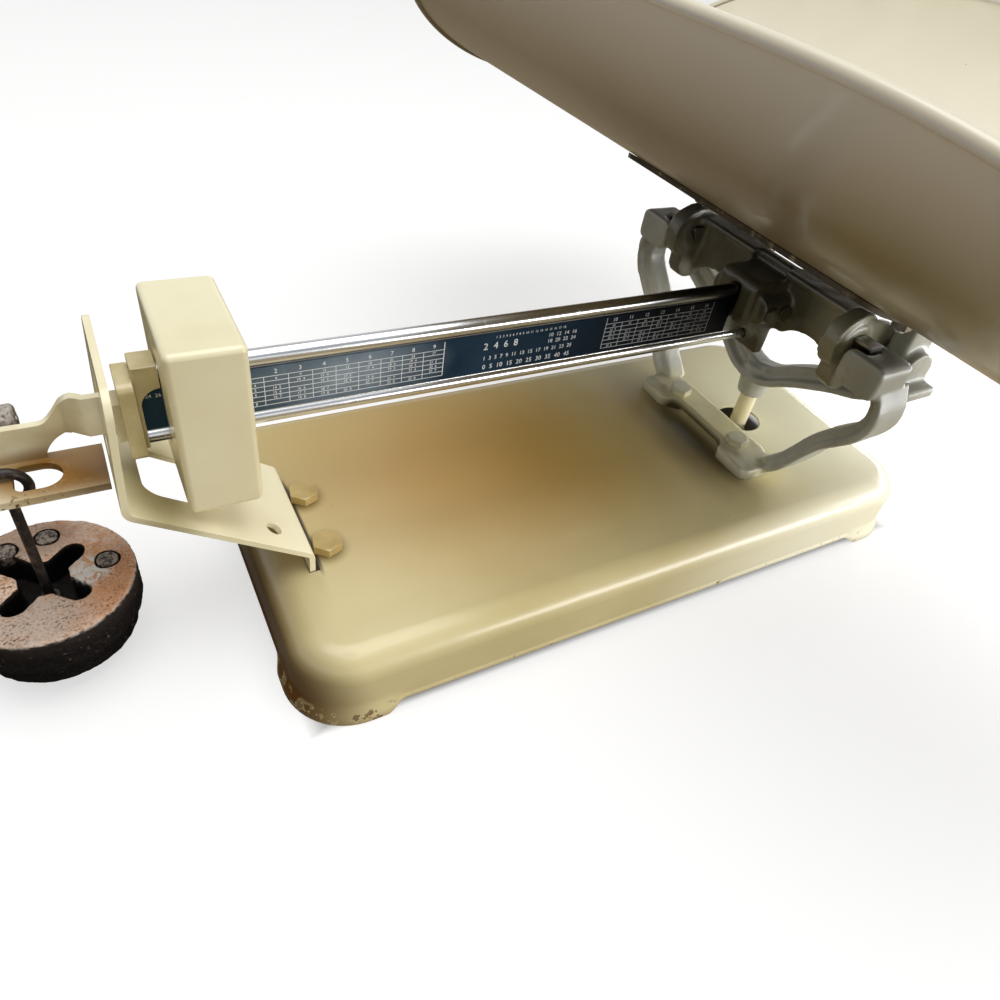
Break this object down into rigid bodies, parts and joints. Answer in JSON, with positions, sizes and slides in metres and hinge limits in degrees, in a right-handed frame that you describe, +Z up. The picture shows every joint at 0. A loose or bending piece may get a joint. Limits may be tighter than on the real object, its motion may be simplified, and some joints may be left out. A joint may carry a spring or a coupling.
{
  "type": "baby scale",
  "caption": "Beam scale for weighing babies: enamelled base, knife-edge lever with sliding poise, hanging weight and a wide curved tray held level by a check link.",
  "frame": {"origin": "middle of the whole object's footprint, on the surface that the base's feet stand on", "axes": "+X along the beam towards the tray, +Y along the tray, +Z up"},
  "size_m": [0.5634, 0.5892, 0.2537],
  "materials": {
    "cream_enamel": "gloss enamel, baked, with a few chips",
    "tray_enamel": "gloss enamel",
    "bolt_enamel": "gloss enamel over hexagon heads",
    "casting": "satin enamel on cast iron",
    "bright_rail": "polished",
    "navy_plate": "gloss lacquer with a white printed table",
    "hard_steel": "ground and hardened",
    "steel": "plain steel",
    "rusty_iron": "worn, pitted and rusty",
    "black_wire": "black, satin",
    "plug_lead": "dull dark plugs"
  },
  "bodies": {
    "base": {"base_shell": "cream_enamel", "loop_bracket": "cream_enamel", "bracket_bolts": "bolt_enamel", "bracket_nuts": "steel", "stand_yoke": "casting", "stand_bolts": "bolt_enamel", "stand_nuts": "steel", "fulcrum_bearings": "hard_steel", "link_bracket": "casting", "link_pin": "hard_steel"},
    "lever": {"lever_casting": "casting", "fulcrum_knives": "hard_steel", "load_knives": "hard_steel", "beam_bar": "bright_rail", "near_plate": "navy_plate", "far_plate": "navy_plate", "hub_screws": "steel", "beam_end_cap": "cream_enamel", "beam_end_plate": "cream_enamel", "beam_tip": "cream_enamel", "tip_rivets": "bolt_enamel", "balance_screw": "steel"},
    "poise": {"main_poise": "cream_enamel", "poise_index": "steel"},
    "nut": {"balance_nut": "rusty_iron"},
    "weight": {"weight_disc": "rusty_iron", "weight_hook": "black_wire", "weight_plugs": "plug_lead"},
    "load_frame": {"load_spider": "casting", "load_bearings": "hard_steel", "stem": "casting", "stem_pin": "hard_steel", "tray_saddle": "casting", "tray": "tray_enamel", "tray_bolts": "steel", "tray_nuts": "steel"},
    "link": {"check_link": "steel"}
  },
  "joints": [
    {"name": "lever_tilt", "type": "hinge", "parent": "base", "child": "lever", "pos_m": [0.09967, 0, 0.128], "axis": [0, 1, 0], "range_deg": [0, 2]},
    {"name": "poise_slide", "type": "slide", "parent": "lever", "child": "poise", "axis": [1, 0, 0], "range_m": [0, 0.2325]},
    {"name": "balance_nut_travel", "type": "slide", "parent": "lever", "child": "nut", "axis": [1, 0, 0], "range_m": [-0.005, 0]},
    {"name": "weight_swing", "type": "hinge", "parent": "lever", "child": "weight", "pos_m": [-0.24768, 0, 0.08857], "axis": [0, 1, 0], "range_deg": [-10, 10]},
    {"name": "load_level", "type": "hinge", "parent": "lever", "child": "load_frame", "pos_m": [0.12907, 0, 0.128], "axis": [0, 1, 0], "range_deg": [-2, 0]},
    {"name": "link_swing", "type": "hinge", "parent": "base", "child": "link", "pos_m": [0.09967, 0, 0.016], "axis": [0, 1, 0], "range_deg": [0, 2]}
  ],
  "couplings": [
    {"joint": "load_level", "follows": "lever_tilt", "ratio": -1},
    {"joint": "link_swing", "follows": "lever_tilt", "ratio": 1}
  ]
}
